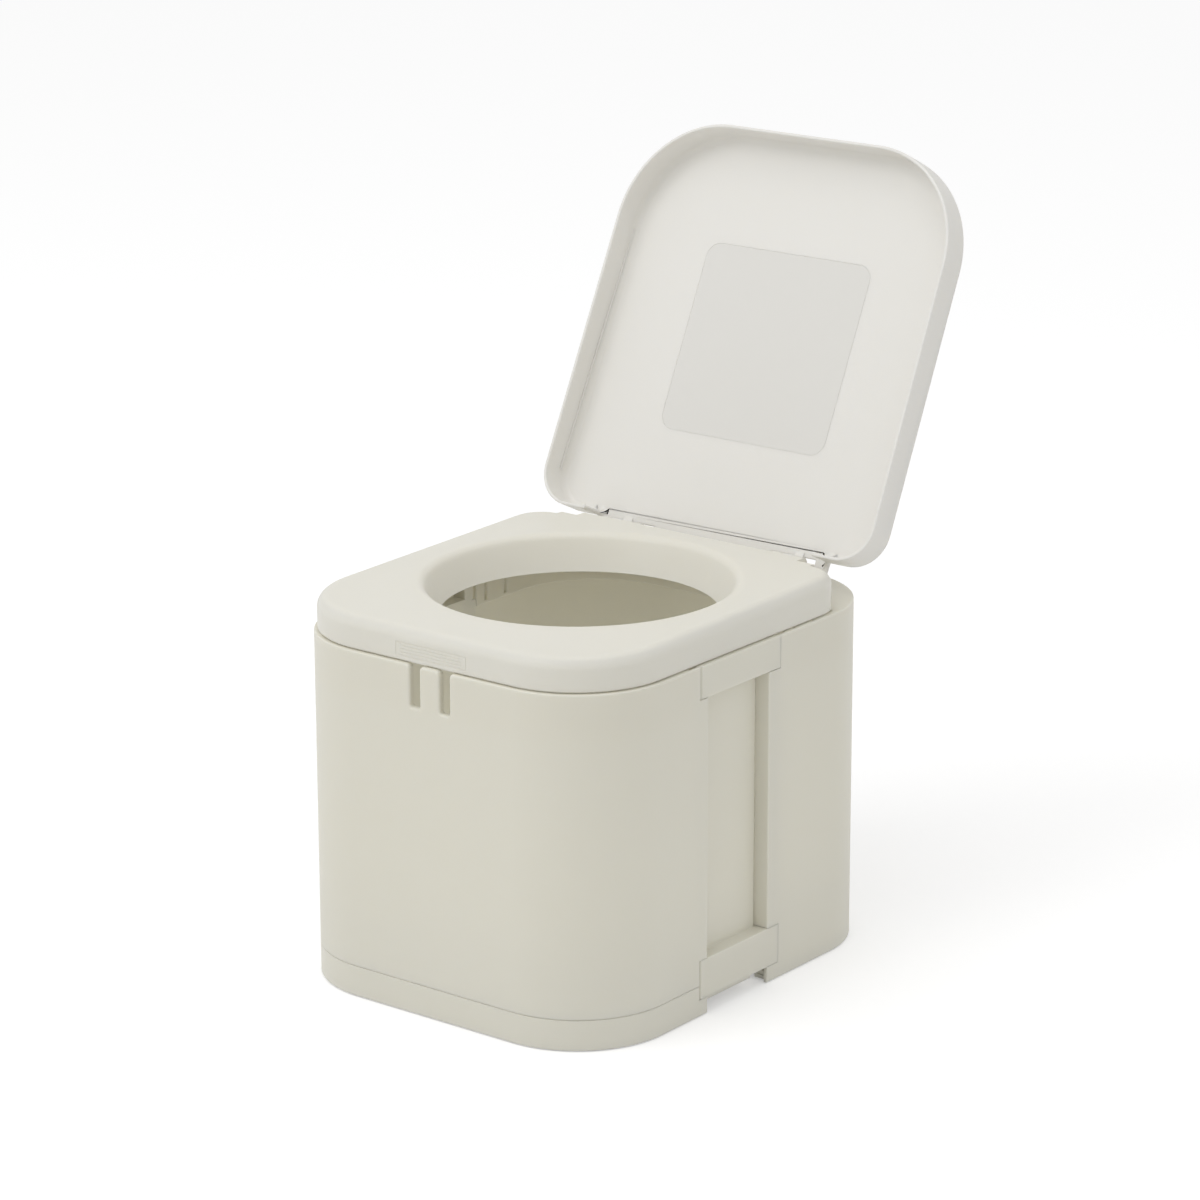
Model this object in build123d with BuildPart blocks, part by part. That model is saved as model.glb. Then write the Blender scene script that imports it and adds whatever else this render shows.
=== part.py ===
from build123d import *
import math
import os

# A folding camping toilet: two U shells on a sliding floor, held apart by two side braces,
# with a seat and a lid that share one hinge line at the back.
# X is the width, Y runs from front to back, Z is up. Lengths are in millimetres.
# Depths are given from the front face and turned into Y by behind_front.

# Body
body_width = 300.0
body_depth = 363.0
body_corner_radius = 76.5
shell_top = 266.7
shell_wall = 3.0
ground_gap = 0.8
front_shell_depth = 130.6
window_depth = 73.9
folded_gap = 0.4
base_height = 24.0
bottom_edge_radius = 0.7

# Band round the top of both shells, with the slots that hold the bag
band_thickness = 6.0
band_height = 35.0
band_set_back = 9.4
hook_slot_width = 9.3
hook_slot_height = 31.7
hook_tongue_width = 18.3
hook_mouth_radius = 3.6
hook_bottom_radius = 2.0
bag_slit_width = 3.0
bag_slit_cut = 3.0
bag_slit_setbacks = (35.0, 59.0)

# Side braces, one in each window
arm_front_overlap = 9.6
arm_rear_overlap = 13.5
arm_height = 30.0
upper_arm_height = 24.9
lower_arm_bottom = 13.4
recess_depth = 11.5
brace_wall = 3.0
brace_pin_inset = 7.0
brace_bevel_across = 3.2
brace_bevel_along = 2.4
brace_panel_lip = 1.0
brace_panel_bevel = 1.2
column_set_in = 1.3
brace_pin_radius = 2.0
brace_pin_length = 18.5
brace_pin_grip = 5.5
column_plate = 6.0

# Sliding floor
floor_bottom = 9.1
floor_thickness = 3.4
rear_floor_bottom = 5.2
rear_floor_thickness = 3.6
wing_set_back = 16.5
wing_clearance = 0.6
tongue_edge_inset = 50.0
tongue_reach = 57.5
rail_web = 4.0
rail_lip = 6.0
rail_lip_thickness = 3.4
rail_slot_clearance = 0.8
rail_set_back = 19.5
rail_rear_inset = 23.0
rail_slot_lead = 9.0
stop_pin_x = 60.0
stop_pin_set_back = 41.5
stop_pin_radius = 4.0
stop_pin_head_radius = 6.5
stop_pin_head = 2.0
lip_width = 10.0
lip_thickness = 3.0
lip_floor_gap = 0.2
joint_lip_thickness = 2.0
joint_lip_height = 6.0

# Feet and fasteners
foot_radius = 9.0
foot_height = 2.0
foot_stem_radius = 3.0
foot_stem_length = 4.0
foot_stem_room = 1.0
foot_boss_radius = 8.0
foot_side_inset = 45.0
foot_end_inset = 42.0
boss_radius = 5.5
boss_height = 45.0
boss_web = 4.0
boss_web_bottom = 32.0
boss_wall_gap = 0.7
side_boss_set_back = 30.6
front_boss_x = 60.0
screw_radius = 1.9
screw_head_radius = 3.6
screw_head_height = 2.4
screw_point_room = 1.0
base_screw_length = 20.0
floor_screw_inset = 9.5
floor_screw_side_set_back = 89.0

# Seat
seat_inset = 2.5
seat_gap = 1.2
seat_rear_inset = 59.0
seat_rear_corner = 28.0
seat_front_thickness = 23.9
seat_rear_thickness = 27.7
seat_wall = 3.0
seat_edge_radius = 9.0
seat_rest_inset = 1.2
seat_rest_gap = 0.3
hole_rear_land = 15.0
hole_lip_radius = 103.0
hole_widening = 13.0
hole_edge_radius = 9.0
funnel_wall = 3.2
funnel_ring_width = 24.0
block_inset = 46.0
block_overlap = 16.0
block_edge_radius = 5.0
shoulder_half_width = 119.5
shoulder_overlap = 14.0
shoulder_edge_radius = 3.0
grip_width = 65.0
grip_above_seam = 2.9
grip_height = 10.5
grip_groove = 0.8
grip_depth = 0.45
grip_rib_count = 3
grip_rib_inset = 4.0

# Hinge line, shared by the seat and the lid
hinge_rear_inset = 41.2
hinge_above_shell = 17.5
hinge_pin_radius = 3.0
hinge_pin_end = 1.0
knuckle_radius = 7.5
ear_inner_x = 58.0
ear_width = 8.0
knuckle_width = 9.6
knuckle_gap = 0.4
lug_inset = 1.5
bracket_plate = 2.0
bracket_front_lap = 7.2
bracket_rear_lap = 12.2
bracket_screw_lap = 5.2
bracket_screw_radius = 1.5
bracket_screw_head_radius = 3.0
bracket_screw_length = 10.0
bracket_boss_radius = 4.5
bracket_boss_height = 8.0
ledge_front_lap = 12.0
ledge_thickness = 3.0

# Lid, drawn closed in the hinge's own plane and leaning back as it stands open
lid_open_angle = 116.0
lid_front_overhang = 2.5
lid_rear_edge = 8.2
lid_front_side_overhang = 2.5
lid_rear_side_overhang = 6.0
lid_front_corner = 84.0
lid_rear_corner = 29.0
lid_wall = 2.5
lid_depth = 27.0
lid_panel_above_hinge = 14.8
lid_edge_radius = 4.5
lid_opening_inset = 47.0
lid_opening_bead = 1.8
lid_skirt_rear = 4.0
lid_relief_rear = 8.6
lid_relief_margin = 2.0
label_width = 154.0
label_length = 150.5
label_front_inset = 88.3
label_corner = 12.0
label_cut = 0.3

# Clearances between pieces
running_gap = 0.3
pin_running_gap = 0.05
pin_seat_gap = 0.02
overcut = 5.0

# Depths from the front face, each set by the piece that it belongs to
half_width = body_width / 2
rear_edge_depth = front_shell_depth + window_depth
fold_travel = window_depth - folded_gap
arm_front_depth = front_shell_depth - arm_front_overlap
arm_rear_depth = rear_edge_depth + arm_rear_overlap
seat_rear_depth = body_depth - seat_rear_inset
hole_top_radius = hole_lip_radius + hole_widening
hole_depth = seat_rear_depth - hole_rear_land - hole_top_radius
hinge_depth = body_depth - hinge_rear_inset
hinge_height = shell_top + hinge_above_shell
block_rear_depth = hinge_depth - knuckle_radius - running_gap
stop_pin_depth = rear_edge_depth + stop_pin_set_back
front_band_depth = arm_front_depth - band_set_back
rear_band_depth = arm_rear_depth + band_set_back

# The lid's rearmost point sets the overall depth, and the origin is at the middle of it.
turn = math.radians(lid_open_angle)
lid_edge_from_hinge = hinge_depth + lid_front_overhang - lid_edge_radius
lid_edge_above_hinge = lid_panel_above_hinge - lid_edge_radius
lid_lean = -math.cos(turn) * lid_edge_from_hinge + math.sin(turn) * lid_edge_above_hinge
overall_depth = hinge_depth + lid_lean + lid_edge_radius
front_y = -overall_depth / 2


def behind_front(depth):
    return front_y + depth


body_centre_y = behind_front(body_depth / 2)
floor_top = floor_bottom + floor_thickness
rear_floor_top = rear_floor_bottom + rear_floor_thickness
seat_bottom = shell_top + seat_gap
hinge_y = behind_front(hinge_depth)
window_bottom = lower_arm_bottom + arm_height
window_top = shell_top - upper_arm_height
brace_pin_x = half_width - brace_pin_inset
brace_pin_depth = arm_rear_depth - brace_pin_inset
brace_thickness = recess_depth + brace_wall
column_back_depth = arm_rear_depth + 2 * running_gap
slot_z = shell_top - hook_slot_height
wing_rear_depth = rear_edge_depth - wing_set_back
rail_slot_front_depth = arm_front_depth - rail_slot_lead
tongue_half_width = half_width - tongue_edge_inset
foot_x = half_width - foot_side_inset
block_half_width = half_width - block_inset
boss_inset = shell_wall + boss_radius + boss_wall_gap
side_boss_depth = front_shell_depth - side_boss_set_back
boss_points = [
    (side * x, y)
    for side in (1, -1)
    for x, y in (
        (half_width - boss_inset, behind_front(side_boss_depth)),
        (front_boss_x, behind_front(boss_inset)),
    )
]
arm_levels = ((lower_arm_bottom, window_bottom), (window_top, shell_top))


def body_outline(inset, mode=Mode.ADD):
    with Locations((0, body_centre_y)):
        RectangleRounded(
            body_width - 2 * inset, body_depth - 2 * inset, body_corner_radius - inset, mode=mode
        )


def body_ring(inset, thickness):
    body_outline(inset)
    body_outline(inset + thickness, mode=Mode.SUBTRACT)


def keep_depths(low, high):
    with Locations((0, behind_front((low + high) / 2))):
        Rectangle(2 * body_width, high - low, mode=Mode.INTERSECT)


def block(x_range, depth_range, z_range, mode=Mode.ADD):
    size = (x_range[1] - x_range[0], depth_range[1] - depth_range[0], z_range[1] - z_range[0])
    centre = (sum(x_range) / 2, behind_front(sum(depth_range) / 2), sum(z_range) / 2)
    with Locations(centre):
        Box(*size, mode=mode)


def block_pair(x_range, depth_range, z_range, mode=Mode.ADD):
    block(x_range, depth_range, z_range, mode)
    block((-x_range[1], -x_range[0]), depth_range, z_range, mode)


def upright(points, radius, z_range, mode=Mode.ADD):
    with BuildSketch(Plane.XY.offset(z_range[0])) as rounds:
        with Locations(*points):
            Circle(radius)
    extrude(rounds.sketch, amount=z_range[1] - z_range[0], mode=mode)


def both_sides(x, depth):
    return [(x, behind_front(depth)), (-x, behind_front(depth))]


def cut_for_arms(depth_range):
    inner_x = half_width - brace_thickness - overcut
    for low, high in arm_levels:
        top = high + running_gap if high < shell_top else high + overcut
        block_pair(
            (inner_x, half_width + overcut), depth_range, (low - running_gap, top), Mode.SUBTRACT
        )


def along_hinge(x_range, radius, mode=Mode.ADD):
    with BuildSketch(Plane.YZ.offset(x_range[0])) as round_end:
        with Locations((hinge_y, hinge_height)):
            Circle(radius)
    extrude(round_end.sketch, amount=x_range[1] - x_range[0], mode=mode)


# Front shell: the U wall with the thick top band, its two hook slots and the screw bosses
with BuildPart() as front_shell:
    with BuildSketch(Plane.XY.offset(base_height)):
        body_ring(0, shell_wall)
        keep_depths(-overcut, front_shell_depth)
    extrude(amount=shell_top - base_height)
    with BuildSketch(Plane.XY.offset(shell_top - band_height)):
        body_ring(0, band_thickness)
        keep_depths(-overcut, front_band_depth)
    extrude(amount=band_height)
    cut_for_arms((arm_front_depth - running_gap, front_shell_depth + overcut))
    slot_offset = (hook_tongue_width + hook_slot_width) / 2
    for slot_x in (-slot_offset, slot_offset):
        block(
            (slot_x - hook_slot_width / 2, slot_x + hook_slot_width / 2),
            (-overcut, band_thickness + overcut),
            (slot_z, shell_top + overcut),
            Mode.SUBTRACT,
        )
    slot_reach = slot_offset + hook_slot_width
    slot_edges = (
        front_shell.edges()
        .filter_by(Axis.Y)
        .filter_by_position(Axis.X, -slot_reach, slot_reach)
        .filter_by_position(Axis.Y, front_y - 1, behind_front(band_thickness + 1))
    )
    fillet(slot_edges.filter_by_position(Axis.Z, shell_top - 1, shell_top + 1), hook_mouth_radius)
    fillet(slot_edges.filter_by_position(Axis.Z, slot_z - 1, slot_z + 1), hook_bottom_radius)
    upright(boss_points, boss_radius, (floor_top, boss_height))
    block_pair(
        (half_width - boss_inset, half_width - shell_wall / 2),
        (side_boss_depth - boss_web / 2, side_boss_depth + boss_web / 2),
        (boss_web_bottom, boss_height),
    )
    block_pair(
        (front_boss_x - boss_web / 2, front_boss_x + boss_web / 2),
        (shell_wall / 2, boss_inset),
        (boss_web_bottom, boss_height),
    )
    pilot_top = floor_bottom + base_screw_length + screw_point_room
    upright(boss_points, screw_radius + pin_seat_gap, (floor_top, pilot_top), Mode.SUBTRACT)
front_shell.part.label = "front_shell"

# Front base: the skirt under the front shell, with the floor whose tongue slides into the rear
tongue_edge = tongue_half_width + rail_web + rail_slot_clearance + running_gap
wing_edge = half_width - shell_wall - wing_clearance
foot_points_front = both_sides(foot_x, foot_end_inset)
foot_points_rear = both_sides(foot_x, body_depth - foot_end_inset)
with BuildPart() as front_base:
    with BuildSketch(Plane.XY.offset(ground_gap)):
        body_ring(0, shell_wall)
        keep_depths(-overcut, front_shell_depth)
    extrude(amount=base_height - ground_gap)
    with BuildSketch(Plane.XY.offset(base_height - joint_lip_height)):
        body_ring(shell_wall - 1, joint_lip_thickness + running_gap + 1)
        keep_depths(-overcut, rail_slot_front_depth)
    extrude(amount=joint_lip_height)
    with BuildSketch(Plane.XY.offset(base_height)):
        body_ring(shell_wall + running_gap, joint_lip_thickness)
        keep_depths(-overcut, rail_slot_front_depth)
    extrude(amount=joint_lip_height)
    upright(boss_points, boss_radius + running_gap, (floor_top, boss_height), Mode.SUBTRACT)
    bottom_rim = front_base.faces().sort_by(Axis.Z)[0].edges()
    fillet(bottom_rim.sort_by(SortBy.LENGTH)[-1], bottom_edge_radius)
    with BuildSketch(Plane.XY.offset(floor_bottom)):
        body_outline(shell_wall - 1)
        keep_depths(-overcut, front_shell_depth - 1)
        wing_low = rail_slot_front_depth
        with Locations((0, behind_front((wing_low + wing_rear_depth) / 2))):
            Rectangle(2 * wing_edge, wing_rear_depth - wing_low)
        slot_high = wing_rear_depth + overcut
        for side in (1, -1):
            slot_centre = side * (tongue_half_width + tongue_edge) / 2
            with Locations((slot_centre, behind_front((wing_low + slot_high) / 2))):
                Rectangle(tongue_edge - tongue_half_width, slot_high - wing_low, mode=Mode.SUBTRACT)
        tongue_rear = rear_edge_depth + tongue_reach
        with Locations((0, behind_front((wing_low + tongue_rear) / 2))):
            Rectangle(2 * tongue_half_width, tongue_rear - wing_low)
        slot_half = stop_pin_radius + running_gap
        slot_from = stop_pin_depth - fold_travel
        for side in (1, -1):
            with Locations((side * stop_pin_x, behind_front((slot_from + stop_pin_depth) / 2))):
                SlotOverall(fold_travel + 2 * slot_half, 2 * slot_half, rotation=90, mode=Mode.SUBTRACT)
    extrude(amount=floor_thickness)
    upright(foot_points_front, foot_boss_radius, (foot_height, floor_bottom))
    upright(
        foot_points_front,
        foot_stem_radius + pin_seat_gap,
        (foot_height, foot_height + foot_stem_length + foot_stem_room),
        Mode.SUBTRACT,
    )
    upright(boss_points, screw_radius + pin_seat_gap, (floor_bottom, floor_top), Mode.SUBTRACT)
    cut_for_arms((arm_front_depth - running_gap, front_shell_depth + overcut))
front_base.part.label = "front_base"

# Rear shell: the U wall, the flat ledge behind the seat and the two columns that carry the braces
brace_inner_x = half_width - brace_thickness
column_inner_x = brace_inner_x + column_set_in
bracket_centre_x = ear_inner_x + ear_width + knuckle_gap + knuckle_width + knuckle_gap / 2
bracket_screw_x = (
    bracket_centre_x - knuckle_width / 2,
    bracket_centre_x + knuckle_width / 2,
)
bracket_points = [
    point
    for x in bracket_screw_x
    for point in both_sides(x, hinge_depth + bracket_screw_lap)
]
floor_screws = [
    *both_sides(half_width - floor_screw_inset, body_depth - floor_screw_side_set_back),
    *both_sides(stop_pin_x, body_depth - floor_screw_inset),
]
lip_bottom = rear_floor_bottom - lip_floor_gap - lip_thickness
with BuildPart() as rear_shell:
    with BuildSketch(Plane.XY.offset(ground_gap)):
        body_ring(0, shell_wall)
        keep_depths(rear_edge_depth, body_depth + overcut)
    extrude(amount=shell_top - ground_gap)
    with BuildSketch(Plane.XY.offset(shell_top - band_height)):
        body_ring(0, band_thickness)
        keep_depths(rear_band_depth, body_depth + overcut)
    extrude(amount=band_height)
    with BuildSketch(Plane.XY.offset(shell_top - ledge_thickness)):
        body_outline(shell_wall - 1)
        keep_depths(seat_rear_depth - ledge_front_lap, body_depth + overcut)
    extrude(amount=ledge_thickness)
    with BuildSketch(Plane.XY.offset(lip_bottom)):
        body_ring(shell_wall - 1, lip_width + 1)
        keep_depths(rear_edge_depth + 2, body_depth + overcut)
    extrude(amount=lip_thickness)
    column_z = (window_bottom + running_gap, window_top - running_gap)
    block_pair(
        (column_inner_x, half_width - shell_wall / 2), (rear_edge_depth, column_back_depth), column_z
    )
    block_pair(
        (column_inner_x + brace_wall, half_width - shell_wall),
        (rear_edge_depth + brace_wall, column_back_depth + overcut),
        (column_z[0] + column_plate, column_z[1] - column_plate),
        Mode.SUBTRACT,
    )
    pin_points = both_sides(brace_pin_x, brace_pin_depth)
    upright(pin_points, brace_pin_radius + pin_seat_gap, column_z, Mode.SUBTRACT)
    cut_for_arms((rear_edge_depth - overcut, arm_rear_depth + running_gap))
    for set_back in bag_slit_setbacks:
        slit_depth = rear_edge_depth + set_back
        block_pair(
            (half_width - band_thickness - 1, half_width - band_thickness + bag_slit_cut),
            (slit_depth - bag_slit_width / 2, slit_depth + bag_slit_width / 2),
            (slot_z, shell_top + overcut),
            Mode.SUBTRACT,
        )
    boss_z = (shell_top - ledge_thickness - bracket_boss_height, shell_top - ledge_thickness)
    upright(bracket_points, bracket_boss_radius, boss_z)
    hole_z = (boss_z[0], shell_top)
    upright(bracket_points, bracket_screw_radius + pin_seat_gap, hole_z, Mode.SUBTRACT)
    lip_z = (lip_bottom, lip_bottom + lip_thickness)
    upright(floor_screws, screw_radius + pin_seat_gap, lip_z, Mode.SUBTRACT)
rear_shell.part.label = "rear_shell"

# Rear floor: the plate in the rear shell, with two rails that hold the tongue's edges
with BuildPart() as rear_floor:
    with BuildSketch(Plane.XY.offset(rear_floor_bottom)):
        body_outline(shell_wall + running_gap)
        keep_depths(rear_edge_depth + 2, body_depth)
    extrude(amount=rear_floor_thickness)
    web_inner = tongue_half_width + running_gap
    rail_top = floor_top + running_gap + rail_lip_thickness
    rail_depths = (rear_edge_depth + rail_set_back, body_depth - rail_rear_inset)
    block_pair((web_inner, web_inner + rail_web), rail_depths, (rear_floor_top, rail_top))
    block_pair(
        (web_inner - rail_lip, web_inner + rail_web),
        rail_depths,
        (floor_top + running_gap, rail_top),
    )
    floor_z = (rear_floor_bottom, rear_floor_top)
    stop_points = both_sides(stop_pin_x, stop_pin_depth)
    upright(stop_points, stop_pin_radius + pin_seat_gap, floor_z, Mode.SUBTRACT)
    upright(floor_screws, screw_radius + pin_seat_gap, floor_z, Mode.SUBTRACT)
    upright(foot_points_rear, foot_boss_radius, (foot_height, rear_floor_bottom))
    stem_z = (foot_height, foot_height + foot_stem_length + foot_stem_room)
    upright(foot_points_rear, foot_stem_radius + pin_seat_gap, stem_z, Mode.SUBTRACT)
rear_floor.part.label = "rear_floor"

# Stop pins: their heads sit over the tongue, and their shanks end the slide at both ends
with BuildPart() as slide_stop_pins:
    head_bottom = floor_top + running_gap
    upright(stop_points, stop_pin_radius, (rear_floor_bottom, head_bottom))
    upright(stop_points, stop_pin_head_radius, (head_bottom, head_bottom + stop_pin_head))
slide_stop_pins.part.label = "slide_stop_pins"

# Right side brace: two hollow arms that lie flush in the window, joined by the sunken panel
arm_front_y = behind_front(arm_front_depth)
pin_y = behind_front(brace_pin_depth)
arm_rear_y = behind_front(arm_rear_depth)
knuckle_front_depth = brace_pin_depth - brace_pin_inset
with BuildPart() as right_side_brace:
    for low, high in arm_levels:
        with BuildSketch(Plane.XY.offset(low)):
            with BuildLine():
                Polyline(
                    (brace_pin_x - brace_pin_inset, pin_y),
                    (brace_pin_x - brace_pin_inset, pin_y - brace_pin_inset),
                    (brace_inner_x, pin_y - brace_pin_inset),
                    (brace_inner_x, arm_front_y),
                    (half_width - brace_bevel_across, arm_front_y),
                    (half_width, arm_front_y + brace_bevel_along),
                    (half_width, arm_rear_y),
                    (brace_pin_x, arm_rear_y),
                )
                RadiusArc(
                    (brace_pin_x, arm_rear_y), (brace_pin_x - brace_pin_inset, pin_y), -brace_pin_inset
                )
            make_face()
        extrude(amount=high - low)
        block(
            (brace_inner_x - overcut, half_width - brace_wall),
            (arm_front_depth + brace_wall, knuckle_front_depth),
            (low + brace_wall, high - brace_wall),
            Mode.SUBTRACT,
        )
    panel_rear_y = behind_front(rear_edge_depth - running_gap)
    with BuildSketch(Plane.XY.offset(window_bottom - brace_wall)) as panel_section:
        Polygon(
            (brace_inner_x, arm_front_y),
            (brace_inner_x + brace_wall, arm_front_y),
            (brace_inner_x + brace_wall, panel_rear_y - brace_panel_bevel),
            (brace_inner_x + brace_panel_lip, panel_rear_y),
            (brace_inner_x, panel_rear_y),
            align=None,
        )
    extrude(panel_section.sketch, amount=window_top - window_bottom + 2 * brace_wall)
    bore_reach = brace_pin_length - brace_pin_grip + 1
    bore_radius = brace_pin_radius + pin_running_gap
    right_pin = [(brace_pin_x, pin_y)]
    upright(right_pin, bore_radius, (window_bottom - bore_reach, window_bottom), Mode.SUBTRACT)
    upright(right_pin, bore_radius, (window_top, window_top + bore_reach), Mode.SUBTRACT)
right_side_brace.part.label = "right_side_brace"

with BuildPart() as left_side_brace:
    mirror(right_side_brace.part, about=Plane.YZ)
left_side_brace.part.label = "left_side_brace"

# Brace pins: one above and one below each column
upper_pin_bottom = column_z[1] - brace_pin_grip
lower_pin_top = column_z[0] + brace_pin_grip
with BuildPart() as right_brace_pins:
    upright(right_pin, brace_pin_radius, (upper_pin_bottom, upper_pin_bottom + brace_pin_length))
    upright(right_pin, brace_pin_radius, (lower_pin_top - brace_pin_length, lower_pin_top))
right_brace_pins.part.label = "right_brace_pins"

with BuildPart() as left_brace_pins:
    mirror(right_brace_pins.part, about=Plane.YZ)
left_brace_pins.part.label = "left_brace_pins"


# Seat: a hollow cover with a sloping top, a funnel-shaped hole and the hinge block behind
def seat_outline(inset):
    half = half_width - seat_inset - inset
    front = behind_front(seat_inset + inset)
    rear = behind_front(seat_rear_depth - inset)
    front_radius = body_corner_radius - seat_inset - inset
    Polygon((-half, front), (half, front), (half, rear), (-half, rear), align=None)
    fillet(vertices().group_by(Axis.Y)[0], front_radius)
    fillet(vertices().group_by(Axis.Y)[-1], seat_rear_corner - inset)


seat_rise = seat_rear_thickness - seat_front_thickness
seat_slope = math.atan2(seat_rise, block_rear_depth - seat_inset)
seat_cut_top = seat_bottom + max(seat_front_thickness, seat_rear_thickness) + overcut


def trim_above(drop):
    top = Plane(
        origin=(0, behind_front(seat_inset), seat_bottom + seat_front_thickness - drop),
        x_dir=(1, 0, 0),
        z_dir=(0, -math.sin(seat_slope), math.cos(seat_slope)),
    )
    with BuildSketch(top) as trim_face:
        Rectangle(4 * body_width, 4 * body_depth)
    extrude(trim_face.sketch, amount=seat_cut_top, mode=Mode.SUBTRACT)


seat_blank_height = seat_cut_top - seat_bottom
hole_share = (hole_depth - seat_inset) / (block_rear_depth - seat_inset)
hole_rim_z = seat_bottom + seat_front_thickness + seat_rise * hole_share
hole_flare = hole_widening / (hole_rim_z - seat_bottom)
funnel_ring_radius = hole_lip_radius + funnel_ring_width
hole_y = behind_front(hole_depth)
with BuildPart() as seat_cavity:
    with BuildSketch(Plane.XY.offset(seat_bottom - overcut)):
        seat_outline(seat_wall)
    extrude(amount=seat_blank_height + overcut)
    block(
        (-block_half_width + seat_wall, block_half_width - seat_wall),
        (seat_rear_depth - block_overlap, block_rear_depth - seat_wall),
        (seat_bottom - overcut, seat_cut_top),
    )
    trim_above(seat_wall)
    with BuildSketch(Plane.XY.offset(seat_bottom - overcut)):
        with Locations((0, hole_y)):
            Circle(funnel_ring_radius)
    extrude(amount=seat_blank_height + 2 * overcut, mode=Mode.SUBTRACT)

with BuildPart() as seat:
    with BuildSketch(Plane.XY.offset(seat_bottom)):
        seat_outline(0)
    extrude(amount=seat_blank_height)
    trim_above(0)
    seat_top_edges = seat.faces().sort_by(Axis.Z)[-1].edges()
    fillet(seat_top_edges, seat_edge_radius)
    with BuildSketch(Plane.XY.offset(seat_bottom)):
        block_front_depth = seat_rear_depth - block_overlap
        with Locations((0, behind_front((block_front_depth + block_rear_depth) / 2))):
            Rectangle(2 * block_half_width, block_rear_depth - block_front_depth)
        with Locations((0, behind_front(seat_rear_depth - shoulder_overlap / 2))):
            Rectangle(2 * shoulder_half_width, shoulder_overlap)
    extrude(amount=seat_blank_height)
    trim_above(0)
    block_edges = seat.edges().filter_by_position(
        Axis.Y, behind_front(block_rear_depth) - 0.1, behind_front(block_rear_depth) + 0.1
    )
    fillet(block_edges.sort_by(Axis.Z)[-1], block_edge_radius)
    shoulder_edges = seat.edges().filter_by_position(
        Axis.Y, behind_front(seat_rear_depth) - 0.1, behind_front(seat_rear_depth) + 0.1
    )
    fillet(shoulder_edges.filter_by(Axis.X).group_by(Axis.Z)[-1], shoulder_edge_radius)
    add(seat_cavity.part, mode=Mode.SUBTRACT)
    hole_cut_radius = hole_top_radius + hole_flare * (seat_cut_top - hole_rim_z)
    with BuildSketch(Plane.XZ.offset(-hole_y)):
        with BuildLine():
            Polyline(
                (0, seat_bottom - overcut),
                (hole_lip_radius, seat_bottom - overcut),
                (hole_lip_radius, seat_bottom),
                (hole_cut_radius, seat_cut_top),
                (0, seat_cut_top),
                close=True,
            )
        make_face()
    revolve(axis=Axis((0, hole_y, 0), (0, 0, 1)), mode=Mode.SUBTRACT)
    top_face = seat.faces().filter_by(GeomType.PLANE).sort_by(SortBy.AREA)[-1]
    hole_rim = top_face.inner_wires()[0].edges()
    fillet(hole_rim, hole_edge_radius)
    pocket_top = seat_bottom + min(seat_front_thickness, seat_rear_thickness) - 2 * funnel_wall
    pocket_top_radius = hole_lip_radius + funnel_wall + hole_flare * (pocket_top - seat_bottom)
    with BuildSketch(Plane.XZ.offset(-hole_y)):
        with BuildLine():
            Polyline(
                (hole_lip_radius + funnel_wall, seat_bottom),
                (funnel_ring_radius + 1, seat_bottom),
                (funnel_ring_radius + 1, pocket_top),
                (pocket_top_radius + seat_edge_radius / 2, pocket_top),
                (pocket_top_radius, pocket_top - seat_edge_radius / 2),
                close=True,
            )
        make_face()
    revolve(axis=Axis((0, hole_y, 0), (0, 0, 1)), mode=Mode.SUBTRACT)
    with BuildSketch(Plane.XY.offset(shell_top + seat_rest_gap)):
        seat_outline(seat_rest_inset)
        with BuildSketch(mode=Mode.SUBTRACT):
            seat_outline(seat_wall)
    extrude(amount=seat_gap)
    knuckle_x = (
        ear_inner_x + ear_width + knuckle_gap,
        ear_inner_x + ear_width + knuckle_gap + knuckle_width,
    )
    lug_half = knuckle_radius - lug_inset
    for x_range in (knuckle_x, (-knuckle_x[1], -knuckle_x[0])):
        along_hinge(x_range, knuckle_radius)
        block(
            x_range,
            (block_rear_depth - seat_wall / 2, hinge_depth),
            (hinge_height - lug_half, hinge_height + lug_half),
        )
        along_hinge(x_range, hinge_pin_radius + pin_running_gap, Mode.SUBTRACT)
    grip_plane = Plane.XZ.offset(-behind_front(seat_inset))
    with BuildSketch(grip_plane):
        with Locations((0, seat_bottom + grip_above_seam + grip_height / 2)):
            Rectangle(grip_width, grip_height)
            Rectangle(grip_width - 2 * grip_groove, grip_height - 2 * grip_groove, mode=Mode.SUBTRACT)
        rib_pitch = (grip_height - grip_groove) / (grip_rib_count + 1)
        for rib in range(grip_rib_count):
            with Locations((0, seat_bottom + grip_above_seam + grip_groove / 2 + rib_pitch * (rib + 1))):
                Rectangle(grip_width - 2 * grip_rib_inset, grip_groove)
    extrude(amount=-grip_depth, mode=Mode.SUBTRACT)
seat.part.label = "seat"

# Lid: a tray, drawn as it lies closed and placed by the plane of its open position
lid_plane = Plane(
    origin=(0, hinge_y, hinge_height),
    x_dir=(1, 0, 0),
    z_dir=(0, math.sin(turn), math.cos(turn)),
)
lid_front = -(hinge_depth + lid_front_overhang)
lid_rear = -lid_rear_edge
lid_panel_inner = lid_panel_above_hinge - lid_wall
lid_rim = lid_panel_above_hinge - lid_depth


def lid_outline(inset):
    front_half = half_width + lid_front_side_overhang - inset
    rear_half = half_width + lid_rear_side_overhang - inset
    Polygon(
        (-front_half, lid_front + inset),
        (front_half, lid_front + inset),
        (rear_half, lid_rear - inset),
        (-rear_half, lid_rear - inset),
        align=None,
    )
    fillet(vertices().group_by(Axis.Y)[0], lid_front_corner - inset)
    fillet(vertices().group_by(Axis.Y)[-1], lid_rear_corner - inset)


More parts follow.
